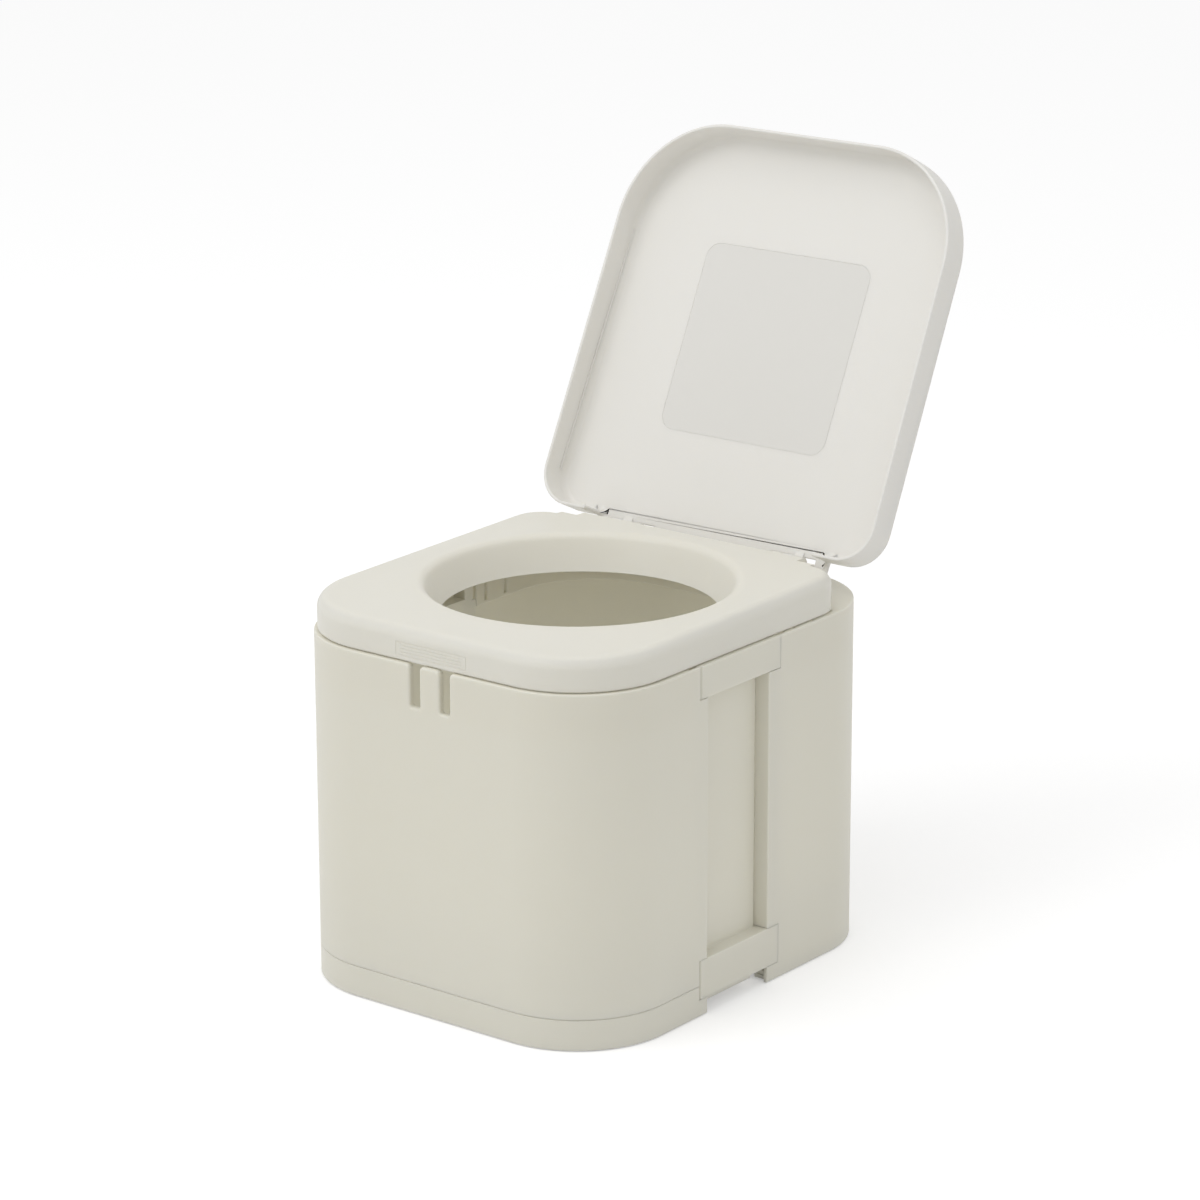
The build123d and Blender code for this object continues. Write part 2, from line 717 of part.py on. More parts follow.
def lid_slab(x_range, y_range, z_range, mode=Mode.ADD):
    with BuildSketch(lid_plane.offset(z_range[0])) as slab_face:
        with Locations((sum(x_range) / 2, sum(y_range) / 2)):
            Rectangle(x_range[1] - x_range[0], y_range[1] - y_range[0])
    extrude(slab_face.sketch, amount=z_range[1] - z_range[0], mode=mode)


lid_arm_x = (knuckle_x[1] + knuckle_gap, knuckle_x[1] + knuckle_gap + knuckle_width)
ear_outer_x = (lid_arm_x[1] + knuckle_gap, lid_arm_x[1] + knuckle_gap + ear_width)
lid_opening_half = half_width + lid_rear_side_overhang - lid_opening_inset
panel_z = (lid_panel_inner, lid_panel_above_hinge)
with BuildPart() as lid:
    with BuildSketch(lid_plane.offset(lid_rim)):
        lid_outline(0)
    extrude(amount=lid_depth)
    outer_face = lid.faces().filter_by(GeomType.PLANE).sort_by(SortBy.AREA)[-2:]
    back_face = outer_face.sort_by(Axis.Y)[-1]
    fillet(back_face.edges(), lid_edge_radius)
    with BuildSketch(lid_plane.offset(lid_rim - overcut)):
        lid_outline(lid_wall)
    extrude(amount=lid_depth - lid_wall + overcut, mode=Mode.SUBTRACT)
    lid_slab(
        (-lid_opening_half, lid_opening_half),
        (lid_rear - 2 * lid_wall, lid_rear + overcut),
        (lid_rim - overcut, lid_panel_inner),
        Mode.SUBTRACT,
    )
    with BuildSketch(lid_plane.offset(lid_rim)):
        bead_y = lid_rear - lid_opening_bead
        with Locations((lid_opening_half, bead_y), (-lid_opening_half, bead_y)):
            Circle(lid_opening_bead)
    extrude(amount=lid_panel_inner - lid_rim)
    lid_slab((-lid_opening_half, lid_opening_half), (lid_rear - lid_edge_radius, lid_skirt_rear), panel_z)
    ear_zone = (ear_inner_x - lid_relief_margin, ear_outer_x[1] + lid_relief_margin)
    for side in (1, -1):
        zone = sorted((side * ear_zone[0], side * ear_zone[1]))
        lid_slab(zone, (-lid_relief_rear, lid_skirt_rear + overcut), panel_z, Mode.SUBTRACT)
        arm = sorted((side * lid_arm_x[0], side * lid_arm_x[1]))
        arm_plane = Plane(
            origin=(arm[0], hinge_y, hinge_height), x_dir=lid_plane.y_dir, z_dir=(1, 0, 0)
        )
        with BuildSketch(arm_plane):
            with BuildLine():
                Polyline(
                    (knuckle_radius, 0),
                    (knuckle_radius, lid_panel_above_hinge - knuckle_radius),
                )
                RadiusArc(
                    (knuckle_radius, lid_panel_above_hinge - knuckle_radius),
                    (0, lid_panel_above_hinge),
                    -knuckle_radius,
                )
                Polyline(
                    (0, lid_panel_above_hinge),
                    (-knuckle_radius, lid_panel_above_hinge),
                    (-knuckle_radius, 0),
                )
                RadiusArc((-knuckle_radius, 0), (0, -knuckle_radius), -knuckle_radius)
                RadiusArc((0, -knuckle_radius), (knuckle_radius, 0), -knuckle_radius)
            make_face()
        extrude(amount=arm[1] - arm[0])
        lid_slab(arm, (-2 * knuckle_radius, -knuckle_radius + 1), panel_z)
        along_hinge(arm, hinge_pin_radius + pin_running_gap, Mode.SUBTRACT)
    with BuildSketch(lid_plane.offset(lid_panel_inner - 1)):
        with Locations((0, lid_front + label_front_inset + label_length / 2)):
            RectangleRounded(label_width, label_length, label_corner)
    extrude(amount=1 + label_cut, mode=Mode.SUBTRACT)
lid.part.label = "lid"

# Right hinge bracket: a plate on the ledge with two ears round the pin
with BuildPart() as right_hinge_bracket:
    block(
        (ear_inner_x, ear_outer_x[1]),
        (hinge_depth - bracket_front_lap, hinge_depth + bracket_rear_lap),
        (shell_top, shell_top + bracket_plate),
    )
    for x_range in ((ear_inner_x, ear_inner_x + ear_width), ear_outer_x):
        block(
            x_range,
            (hinge_depth - knuckle_radius + running_gap, hinge_depth + knuckle_radius - running_gap),
            (shell_top, hinge_height),
        )
        along_hinge(x_range, knuckle_radius)
        along_hinge(x_range, hinge_pin_radius + pin_seat_gap, Mode.SUBTRACT)
    plate_top = shell_top + bracket_plate
    bracket_screw_y = behind_front(hinge_depth + bracket_screw_lap)
    with Locations(*[(x, bracket_screw_y, plate_top) for x in bracket_screw_x]):
        CounterSinkHole(
            bracket_screw_radius + pin_seat_gap,
            bracket_screw_head_radius + pin_seat_gap,
            depth=bracket_plate,
        )
right_hinge_bracket.part.label = "right_hinge_bracket"

with BuildPart() as left_hinge_bracket:
    mirror(right_hinge_bracket.part, about=Plane.YZ)
left_hinge_bracket.part.label = "left_hinge_bracket"

# Hinge pins: a short rod through each bracket, the seat's knuckle and the lid's arm
with BuildPart() as right_hinge_pin:
    along_hinge((ear_inner_x - hinge_pin_end, ear_outer_x[1] + hinge_pin_end), hinge_pin_radius)
right_hinge_pin.part.label = "right_hinge_pin"

with BuildPart() as left_hinge_pin:
    mirror(right_hinge_pin.part, about=Plane.YZ)
left_hinge_pin.part.label = "left_hinge_pin"


# Screws: bracket screws from above, base screws from below, floor screws from above
with BuildPart() as bracket_screws:
    cone_height = bracket_screw_head_radius - bracket_screw_radius
    for x, y in bracket_points:
        with BuildSketch(Plane.XZ.offset(-y)):
            with BuildLine():
                Polyline(
                    (x, plate_top),
                    (x + bracket_screw_head_radius, plate_top),
                    (x + bracket_screw_radius, plate_top - cone_height),
                    (x + bracket_screw_radius, plate_top - bracket_screw_length),
                    (x, plate_top - bracket_screw_length),
                    close=True,
                )
            make_face()
        revolve(axis=Axis((x, y, 0), (0, 0, 1)))
bracket_screws.part.label = "bracket_screws"

with BuildPart() as base_screws:
    upright(boss_points, screw_head_radius, (floor_bottom - screw_head_height, floor_bottom))
    upright(boss_points, screw_radius, (floor_bottom, floor_bottom + base_screw_length))
base_screws.part.label = "base_screws"

with BuildPart() as floor_screws_part:
    upright(floor_screws, screw_radius, (lip_bottom, rear_floor_top))
    upright(floor_screws, screw_head_radius, (rear_floor_top, rear_floor_top + screw_head_height))
floor_screws_part.part.label = "floor_screws"


# Feet: one rubber plug under each corner
def foot(point):
    upright([point], foot_radius, (0, foot_height))
    upright([point], foot_stem_radius, (foot_height, foot_height + foot_stem_length))


with BuildPart() as front_right_foot:
    foot(foot_points_front[0])
front_right_foot.part.label = "front_right_foot"

with BuildPart() as front_left_foot:
    foot(foot_points_front[1])
front_left_foot.part.label = "front_left_foot"

with BuildPart() as rear_right_foot:
    foot(foot_points_rear[0])
rear_right_foot.part.label = "rear_right_foot"

with BuildPart() as rear_left_foot:
    foot(foot_points_rear[1])
rear_left_foot.part.label = "rear_left_foot"

pieces = (
    front_shell,
    front_base,
    rear_shell,
    rear_floor,
    slide_stop_pins,
    right_side_brace,
    left_side_brace,
    right_brace_pins,
    left_brace_pins,
    seat,
    lid,
    right_hinge_bracket,
    left_hinge_bracket,
    right_hinge_pin,
    left_hinge_pin,
    bracket_screws,
    base_screws,
    floor_screws_part,
    front_right_foot,
    front_left_foot,
    rear_right_foot,
    rear_left_foot,
)
os.makedirs("parts", exist_ok=True)
for piece in pieces:
    export_step(piece.part, f"parts/{piece.part.label}.step")
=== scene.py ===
import math

import bmesh
import bpy
from mathutils import Matrix, Vector


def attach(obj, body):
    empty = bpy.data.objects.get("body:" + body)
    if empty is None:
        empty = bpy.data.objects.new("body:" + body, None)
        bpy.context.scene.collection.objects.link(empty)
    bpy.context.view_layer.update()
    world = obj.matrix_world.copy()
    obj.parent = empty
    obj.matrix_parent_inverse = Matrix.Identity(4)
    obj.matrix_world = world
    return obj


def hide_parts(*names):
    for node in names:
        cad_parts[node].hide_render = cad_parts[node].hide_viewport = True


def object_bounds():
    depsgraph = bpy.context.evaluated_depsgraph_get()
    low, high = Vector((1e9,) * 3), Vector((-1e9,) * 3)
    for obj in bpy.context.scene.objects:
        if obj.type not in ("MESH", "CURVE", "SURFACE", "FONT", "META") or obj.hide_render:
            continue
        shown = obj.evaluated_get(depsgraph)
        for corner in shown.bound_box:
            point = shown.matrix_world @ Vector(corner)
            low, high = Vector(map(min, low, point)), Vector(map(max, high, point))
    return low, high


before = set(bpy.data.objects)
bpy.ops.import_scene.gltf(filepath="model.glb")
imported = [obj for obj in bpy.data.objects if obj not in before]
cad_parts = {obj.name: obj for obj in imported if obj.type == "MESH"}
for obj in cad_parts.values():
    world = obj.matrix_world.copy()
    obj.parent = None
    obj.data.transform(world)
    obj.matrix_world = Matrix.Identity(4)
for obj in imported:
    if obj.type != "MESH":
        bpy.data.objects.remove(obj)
cad_bounds = [[round(v, 6) for v in corner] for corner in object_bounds()]

# Rear shell. An injection-moulded U wall with a thick top band, a flat ledge behind the seat
# and two upright columns for the brace pins. Warm grey plastic with a fine grain, and every
# edge slightly rounded as it leaves the mould.
SHELL_EDGE = 0.0011
SEAM_EDGE = 0.00013
SHELL_PALE = (0.778, 0.757, 0.664, 1)
SHELL_DEEP = (0.752, 0.729, 0.632, 1)
WALL_GLOW = 0.5
GLOW_DEPTH = 0.007
GLOW_TINT = (1.0, 0.96, 0.88)
GRAIN_SIZE = 1500.0
GRAIN_DEPTH = 0.00006
SPECK_SIZE = 600.0
FLOW_SIZE = 7.0
FLOW_STRETCH = (1, 1, 0.6)
WAVE_SIZE = 24.0
WAVE_DEPTH = 0.002


class Wire:
    """One value in a shader. Arithmetic on it adds the Math nodes."""

    def __init__(self, tree, socket):
        self.tree, self.socket = tree, socket

    def math(self, operation, first, second):
        maths = self.tree.nodes.new("ShaderNodeMath")
        maths.operation = operation
        for entry, value in zip(maths.inputs, (first, second)):
            if isinstance(value, Wire):
                self.tree.links.new(value.socket, entry)
            else:
                entry.default_value = value
        return Wire(self.tree, maths.outputs[0])

    def __add__(self, other):
        return self.math("ADD", self, other)

    def __sub__(self, other):
        return self.math("SUBTRACT", self, other)

    def __mul__(self, other):
        return self.math("MULTIPLY", self, other)


class Finish:
    """One material, its nodes, and the surface coordinates that its patterns read."""

    def __init__(self, name, **settings):
        self.material = bpy.data.materials.new(name)
        self.material.use_nodes = True
        self.tree = self.material.node_tree
        self.surface = self.tree.nodes["Principled BSDF"]
        for socket, value in settings.items():
            self.surface.inputs[socket.replace("_", " ")].default_value = value
        self.place = self.node("ShaderNodeTexCoord", output="Object")

    def feed(self, socket, value):
        if isinstance(value, Wire):
            self.tree.links.new(value.socket, socket)
        else:
            socket.default_value = value

    def node(self, kind, settings=None, sockets=None, output=0):
        made = self.tree.nodes.new(kind)
        for key, value in (settings or {}).items():
            setattr(made, key, value)
        for key, value in (sockets or {}).items():
            self.feed(made.inputs[key], value)
        return Wire(self.tree, made.outputs[output])

    def noise(self, scale, detail=2.0, stretch=(1, 1, 1)):
        spot = self.node("ShaderNodeMapping", sockets={"Vector": self.place, "Scale": stretch})
        return self.node(
            "ShaderNodeTexNoise", sockets={"Vector": spot, "Scale": scale, "Detail": detail}
        )

    def blend(self, factor, first, second):
        mixed = self.node("ShaderNodeMix", {"data_type": "RGBA", "clamp_factor": True})
        mix = mixed.socket.node
        colour_inputs = [s for s in mix.inputs if s.type == "RGBA"]
        self.feed(mix.inputs["Factor"], factor)
        self.feed(colour_inputs[0], first)
        self.feed(colour_inputs[1], second)
        return Wire(self.tree, next(s for s in mix.outputs if s.type == "RGBA"))


def moulded_plastic(name, pale, deep, gloss=0.44, grain=1.0, glow=WALL_GLOW):
    """Grained plastic: a slow drift of colour, fine grain, and faint flow marks in the gloss."""
    finish = Finish(
        name,
        IOR=1.46,
        Subsurface_Weight=glow,
        Subsurface_Radius=GLOW_TINT,
        Subsurface_Scale=GLOW_DEPTH,
    )
    drift = finish.noise(FLOW_SIZE, 3.0, FLOW_STRETCH)
    speck = finish.noise(SPECK_SIZE, 2.0)
    fine = finish.noise(GRAIN_SIZE, 3.0)
    tone = drift * 0.85 + speck * 0.3 - 0.08
    finish.feed(finish.surface.inputs["Base Color"], finish.blend(tone, deep, pale))
    finish.feed(finish.surface.inputs["Roughness"], drift * 0.12 + fine * 0.1 + (gloss - 0.1))
    waves = finish.node(
        "ShaderNodeBump",
        sockets={
            "Strength": 0.12,
            "Distance": WAVE_DEPTH,
            "Height": finish.noise(WAVE_SIZE, 1.0),
        },
    )
    bumps = finish.node(
        "ShaderNodeBump",
        sockets={
            "Strength": 0.6 * grain,
            "Distance": GRAIN_DEPTH,
            "Height": fine * 0.7 + speck * 0.5,
            "Normal": waves,
        },
    )
    finish.feed(finish.surface.inputs["Normal"], bumps)
    return finish.material


def room_beside(edge, face):
    """How far a face runs on from the middle of one of its edges."""
    loop = next(c for c in face.loops if c.edge == edge)
    first, second = loop.vert.co, loop.link_loop_next.vert.co
    along = (second - first).normalized()
    inward = face.normal.cross(along)
    middle = (first + second) / 2
    room = 1.0
    for other in face.edges:
        if other == edge:
            continue
        a, b = (vert.co - middle for vert in other.verts)
        side_a, side_b = a.dot(along), b.dot(along)
        if side_a * side_b > 0 or abs(side_a - side_b) < 1e-9:
            continue
        reach = (a + (b - a) * side_a / (side_a - side_b)).dot(inward)
        if reach > 1e-6:
            room = min(room, reach)
    return room


def settle(piece):
    """Makes a piece's modifiers part of its mesh."""
    shown = piece.evaluated_get(bpy.context.evaluated_depsgraph_get())
    done = bpy.data.meshes.new_from_object(shown)
    piece.modifiers.clear()
    piece.data = done
    return piece


def link_new(name, mesh):
    piece = bpy.data.objects.new(name, mesh)
    bpy.context.scene.collection.objects.link(piece)
    return piece


def dress(piece, material, body, slot, *nodes):
    piece.data.materials.clear()
    piece.data.materials.append(material)
    for polygon in piece.data.polygons:
        polygon.material_index = 0
    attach(piece, body)
    if nodes:
        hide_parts(*nodes)
    return piece


MERGE_WITHIN = 2e-6
FLAT_WITHIN = math.radians(0.3)
SHARP_FROM = math.radians(28)
ROOM_SHARE = 0.42


def moulded_piece(node, edge_radius, own_radius=None, steps=3):
    """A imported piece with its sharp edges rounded, each by no more than it has room for.

    own_radius gives the radius of an edge that differs from the rest of its piece.
    """
    work = bmesh.new()
    work.from_mesh(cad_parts[node].data)
    bmesh.ops.remove_doubles(work, verts=work.verts, dist=MERGE_WITHIN)
    bmesh.ops.dissolve_limit(work, angle_limit=FLAT_WITHIN, verts=work.verts, edges=work.edges)
    weight = work.edges.layers.float.new("bevel_weight_edge")
    radii = {}
    for edge in work.edges:
        if edge.calc_face_angle(0) > SHARP_FROM:
            middle = (edge.verts[0].co + edge.verts[1].co) / 2
            wanted = own_radius(edge, middle) if own_radius else None
            room = min(room_beside(edge, face) for face in edge.link_faces)
            radii[edge] = min(edge_radius if wanted is None else wanted, ROOM_SHARE * room)
    widest = max(radii.values())
    for edge, radius in radii.items():
        edge[weight] = radius / widest
    mesh = bpy.data.meshes.new(node + "_moulded")
    work.to_mesh(mesh)
    work.free()
    mesh.shade_smooth()
    piece = link_new(node + "_moulded", mesh)
    edges = piece.modifiers.new("rounded edges", "BEVEL")
    edges.limit_method = "WEIGHT"
    edges.width = widest
    edges.segments = steps
    edges.use_clamp_overlap = False
    piece.modifiers.new("even shading", "WEIGHTED_NORMAL").weight = 60
    return settle(piece)


FRONT_Y = cad_bounds[0][1]
WINDOW_LOW, WINDOW_HIGH = 0.044, 0.241
ARM_DEPTHS = (0.120, 0.2195)
ARM_FROM_X = 0.134


def fine_at_arms(edge, middle):
    """The edges that meet a brace arm are left almost sharp, so the seam stays closed."""
    depth = middle.y - FRONT_Y
    beside_window = WINDOW_LOW < middle.z < WINDOW_HIGH
    at_arm = abs(middle.x) > ARM_FROM_X and ARM_DEPTHS[0] < depth < ARM_DEPTHS[1]
    return SEAM_EDGE if at_arm and not beside_window else None


shell_plastic = moulded_plastic("shell_plastic_grained", SHELL_PALE, SHELL_DEEP)
rear = moulded_piece("rear_shell", SHELL_EDGE, fine_at_arms)
dress(rear, shell_plastic, "rear", "shell_plastic", "rear_shell")

# Rear floor. A flat moulding screwed to the rear shell's inner lip, with two rails that hold
# the sliding tongue, and two steel stop pins pressed into it.
FLOOR_EDGE = 0.0008
dress(
    moulded_piece("rear_floor", FLOOR_EDGE), shell_plastic, "rear", "shell_plastic", "rear_floor"
)

# Front shell and front base. The U-shaped front wall with its hook slots, standing on a skirt
# that is moulded with the sliding floor. The two meet in the fine seam near the bottom.
SLOT_LIP = 0.0021
SLOT_BOTTOM = 0.233
SLOTS_WITHIN_X = 0.03
FRONT_FACE_WITHIN = 0.0005
JOINT_LIP = (0.0245, 0.0305)


def wide_at_slots(edge, middle):
    """The slots have a rolled outer lip for the bag's hooks; the hidden inner lip stays sharp."""
    on_front = middle.y < FRONT_Y + FRONT_FACE_WITHIN
    if abs(middle.x) < SLOTS_WITHIN_X and on_front and middle.z > SLOT_BOTTOM:
        return SLOT_LIP
    if JOINT_LIP[0] < middle.z < JOINT_LIP[1]:
        return 0.0
    return fine_at_arms(edge, middle)


for node in ("front_shell", "front_base"):
    front = moulded_piece(node, SHELL_EDGE, wide_at_slots)
    dress(front, shell_plastic, "front", "shell_plastic", node)

# Side braces. Two hollow arms joined by a sunken panel, one moulding on each side, that swing
# inward on steel pins before the front slides back.
BRACE_EDGE = 0.0009
WINDOW_DEPTHS = (0.1315, 0.2035)
WINDOW_MARGIN = 0.002


def fine_at_shells(edge, middle):
    """An arm's outer edges lie against the shells, except along the window."""
    depth = middle.y - FRONT_Y
    beside = WINDOW_DEPTHS[0] < depth < WINDOW_DEPTHS[1]
    level = WINDOW_LOW - WINDOW_MARGIN < middle.z < WINDOW_HIGH + WINDOW_MARGIN
    return None if beside and level else SEAM_EDGE


for side in ("right", "left"):
    node = side + "_side_brace"
    brace = moulded_piece(node, BRACE_EDGE, fine_at_shells)
    dress(brace, shell_plastic, side + "_brace", "shell_plastic", node)

# Seat. One hollow moulding, a little whiter and smoother than the shells, with a rolled top
# edge, a funnel round the hole, and a ribbed pad for the fingers at the front.
SEAT_EDGE = 0.0007
SEAT_PALE = (0.790, 0.770, 0.694, 1)
SEAT_DEEP = (0.768, 0.747, 0.666, 1)
seat_plastic = moulded_plastic("seat_plastic_grained", SEAT_PALE, SEAT_DEEP, 0.4, 0.7)
dress(moulded_piece("seat", SEAT_EDGE), seat_plastic, "seat", "seat_plastic", "seat")

# Lid. A thin moulded tray of the same plastic as the seat and a little whiter, with a rolled
# outer edge, a soft hollow where the panel meets its walls, and two arms on the hinge pins.
LID_EDGE = 0.0009
LID_COVE = 0.0055
LID_PALE = (0.802, 0.787, 0.748, 1)
LID_DEEP = (0.784, 0.767, 0.724, 1)
LID_LEAN = math.radians(116)
HINGE_DEPTH, HINGE_HEIGHT = 0.3218, 0.2842
HINGE = Vector((0, FRONT_Y + HINGE_DEPTH, HINGE_HEIGHT))
LID_TURN = Matrix.Rotation(-LID_LEAN, 3, "X")
LID_INNER = 0.0123
LEVEL_WITHIN = 0.0001


def lid_spot(x, y, z):
    """A point in the plane of the closed lid, carried to where the lid stands open."""
    return HINGE + LID_TURN @ Vector((x, y, z))


def cove_in_lid(edge, middle):
    """The panel runs into the side walls in a soft hollow."""
    flat = LID_TURN.transposed() @ (middle - HINGE)
    hollow = edge.calc_face_angle_signed(0) < 0
    return LID_COVE if hollow and abs(flat.z - LID_INNER) < LEVEL_WITHIN else None


lid_plastic = moulded_plastic("lid_plastic_grained", LID_PALE, LID_DEEP, 0.4, 0.7)
lid = moulded_piece("lid", LID_EDGE, cove_in_lid, 4)
dress(lid, lid_plastic, "lid", "seat_plastic", "lid")

# Lid label panel. A thin matt plastic plate with rounded corners, stuck in the shallow bed on
# the lid's panel and left bare.
LABEL_SIZE = (0.1534, 0.1499)
LABEL_MIDDLE = -0.16075
LABEL_BED = 0.0126
LABEL_THICKNESS = 0.0002
LABEL_CORNER = 0.0117
LABEL_ARC_STEPS = 8


def thick_plate(name, outline, thickness):
    """A closed plate: a flat outline carried by the vector that is its thickness."""
    work = bmesh.new()
    face = work.faces.new([work.verts.new(spot) for spot in outline])
    carried = bmesh.ops.extrude_face_region(work, geom=[face])["geom"]
    far = [v for v in carried if isinstance(v, bmesh.types.BMVert)]
    bmesh.ops.translate(work, verts=far, vec=thickness)
    bmesh.ops.recalc_face_normals(work, faces=work.faces)
    mesh = bpy.data.meshes.new(name)
    work.to_mesh(mesh)
    work.free()
    return link_new(name, mesh)


label_outline = []
for quarter, (x_sign, y_sign) in enumerate(((1, 1), (-1, 1), (-1, -1), (1, -1))):
    centre_x = x_sign * (LABEL_SIZE[0] / 2 - LABEL_CORNER)
    centre_y = y_sign * (LABEL_SIZE[1] / 2 - LABEL_CORNER) + LABEL_MIDDLE
    for step in range(LABEL_ARC_STEPS + 1):
        angle = math.pi / 2 * (quarter + step / LABEL_ARC_STEPS)
        x = centre_x + LABEL_CORNER * math.cos(angle)
        y = centre_y + LABEL_CORNER * math.sin(angle)
        label_outline.append(lid_spot(x, y, LABEL_BED))
label = thick_plate(
    "lid_label_panel", label_outline, LID_TURN @ Vector((0, 0, -LABEL_THICKNESS))
)
label_plastic = moulded_plastic(
    "label_panel_matt", (0.775, 0.763, 0.728, 1), (0.758, 0.745, 0.705, 1), 0.6, 0.5, 0.0
)
dress(label, label_plastic, "lid", "seat_plastic")


# Lid ribs. A thin straight bead on each inner side wall, moulded with the lid, that stiffens it
# and runs from the panel at the free end to part way up the wall at the hinge.
class Growth:
    """A set of geometry steps with named inputs, ending in real mesh with its material."""

    def __init__(self, name, **inputs):
        self.tree = bpy.data.node_groups.new(name, "GeometryNodeTree")
        face = self.tree.interface
        self.identifiers = {}
        for socket, kind in {"Geometry": "NodeSocketGeometry", **inputs}.items():
            made = face.new_socket(socket, in_out="INPUT", socket_type=kind)
            self.identifiers[socket] = made.identifier
        face.new_socket("Geometry", in_out="OUTPUT", socket_type="NodeSocketGeometry")
        self.start = self.tree.nodes.new("NodeGroupInput")

    def given(self, name):
        return self.start.outputs[name]

    def node(self, kind, sockets, output=0):
        made = self.tree.nodes.new(kind)
        for key, value in sockets.items():
            if isinstance(value, bpy.types.NodeSocket):
                self.tree.links.new(value, made.inputs[key])
            else:
                made.inputs[key].default_value = value
        return made.outputs[output]

    def end(self, grown):
        real = self.node("GeometryNodeRealizeInstances", {"Geometry": grown})
        coated = self.node(
            "GeometryNodeSetMaterial", {"Geometry": real, "Material": self.given("Material")}
        )
        finish = self.tree.nodes.new("NodeGroupOutput")
        self.tree.links.new(coated, finish.inputs[0])

    def grow(self, name, mesh, **values):
        piece = link_new(name, mesh)
        steps = piece.modifiers.new("growth", "NODES")
        steps.node_group = self.tree
        for socket, value in values.items():
            steps[self.identifiers[socket]] = value
        return settle(piece)


rib = Growth(
    "lid_rib_along_wall",
    Start="NodeSocketVector",
    End="NodeSocketVector",
    Radius="NodeSocketFloat",
    Material="NodeSocketMaterial",
)
RIB_SIDES = 16
rib_path = rib.node(
    "GeometryNodeCurvePrimitiveLine", {"Start": rib.given("Start"), "End": rib.given("End")}
)
rib_round = rib.node(
    "GeometryNodeCurvePrimitiveCircle", {"Resolution": RIB_SIDES, "Radius": rib.given("Radius")}
)
rib_bead = rib.node(
    "GeometryNodeCurveToMesh", {"Curve": rib_path, "Profile Curve": rib_round, "Fill Caps": True}
)
rib.end(rib_bead)
RIB_RADIUS = 0.0009
rib_plastic = moulded_plastic("lid_rib_smooth", LID_PALE, LID_DEEP, 0.3, 0.3, 0.0)
RIB_START = (0.1503, -0.236, 0.0105)
RIB_END = (0.1530, -0.037, 0.0055)
for side, sign in (("right", 1), ("left", -1)):
    ends = [lid_spot(sign * x, y, z) for x, y, z in (RIB_START, RIB_END)]
    name = "lid_rib_" + side
    bead = rib.grow(
        name,
        bpy.data.meshes.new(name),
        Start=ends[0],
        End=ends[1],
        Radius=RIB_RADIUS,
        Material=rib_plastic,
    )
    bead.data.shade_smooth()
    dress(bead, rib_plastic, "lid", "seat_plastic")

# Hinge brackets. Small smooth mouldings of a hard plastic, each a plate with two ears round the
# hinge pin, held to the ledge of the rear shell by two screws.
BRACKET_EDGE = 0.0005
HINGE_PALE = (0.72, 0.70, 0.64, 1)
HINGE_DEEP = (0.69, 0.67, 0.61, 1)
hinge_plastic = moulded_plastic("hinge_plastic_smooth", HINGE_PALE, HINGE_DEEP, 0.36, 0.4)
for side in ("right", "left"):
    node = side + "_hinge_bracket"
    dress(moulded_piece(node, BRACKET_EDGE), hinge_plastic, "rear", "hinge_plastic", node)

# Pins. Drawn steel rods with a fine grain along their length, pressed into the brackets, the
# rear shell's columns and the rear floor.
PIN_TONE = (0.58, 0.58, 0.57, 1)
steel = Finish("pin_steel_drawn", Metallic=1.0)
steel.feed(steel.surface.inputs["Base Color"], PIN_TONE)
steel.feed(steel.surface.inputs["Roughness"], steel.noise(600.0, 2.0, (0.05, 1, 1)) * 0.2 + 0.2)
for node in (
    "right_brace_pins",
    "left_brace_pins",
    "right_hinge_pin",
    "left_hinge_pin",
    "slide_stop_pins",
):
    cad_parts[node].data.materials[0] = steel.material

# Screws. Steel screws with a cross recess in the head: sunk ones that hold the hinge brackets,
# and round-headed ones that hold the front base and the rear floor.
SCREW_STEPS = 36
RECESS_ARM = 0.0019
RECESS_HALF_WIDTH = 0.00036
RECESS_DEPTH = 0.0011
CUTTER_ABOVE = 0.0005
SUNK_HEAD = ((0.0, 0.0), (0.00285, 0.0), (0.003, -0.0001), (0.0015, -0.0015))
ROUND_HEAD = (
    (0.0, 0.0),
    (0.0020, -0.00015),
    (0.0030, -0.0006),
    (0.0035, -0.0013),
    (0.0036, -0.0024),
    (0.0019, -0.0024),
)
screw_set = Growth("screws_at_points", Screw="NodeSocketObject", Material="NodeSocketMaterial")
one_screw = screw_set.node(
    "GeometryNodeObjectInfo", {"Object": screw_set.given("Screw")}, output="Geometry"
)
screw_set.end(
    screw_set.node(
        "GeometryNodeInstanceOnPoints",
        {"Points": screw_set.given("Geometry"), "Instance": one_screw},
    )
)


def separate_solids(node):
    """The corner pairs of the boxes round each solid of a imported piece."""
    work = bmesh.new()
    work.from_mesh(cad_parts[node].data)
    bmesh.ops.remove_doubles(work, verts=work.verts, dist=MERGE_WITHIN)
    left = set(work.verts)
    boxes = []
    while left:
        grown, edge_of_it = set(), {left.pop()}
        while edge_of_it:
            grown |= edge_of_it
            edge_of_it = {e.other_vert(v) for v in edge_of_it for e in v.link_edges} - grown
        left -= grown
        spans = [[v.co[axis] for v in grown] for axis in range(3)]
        boxes.append((Vector(map(min, spans)), Vector(map(max, spans))))
    work.free()
    return boxes


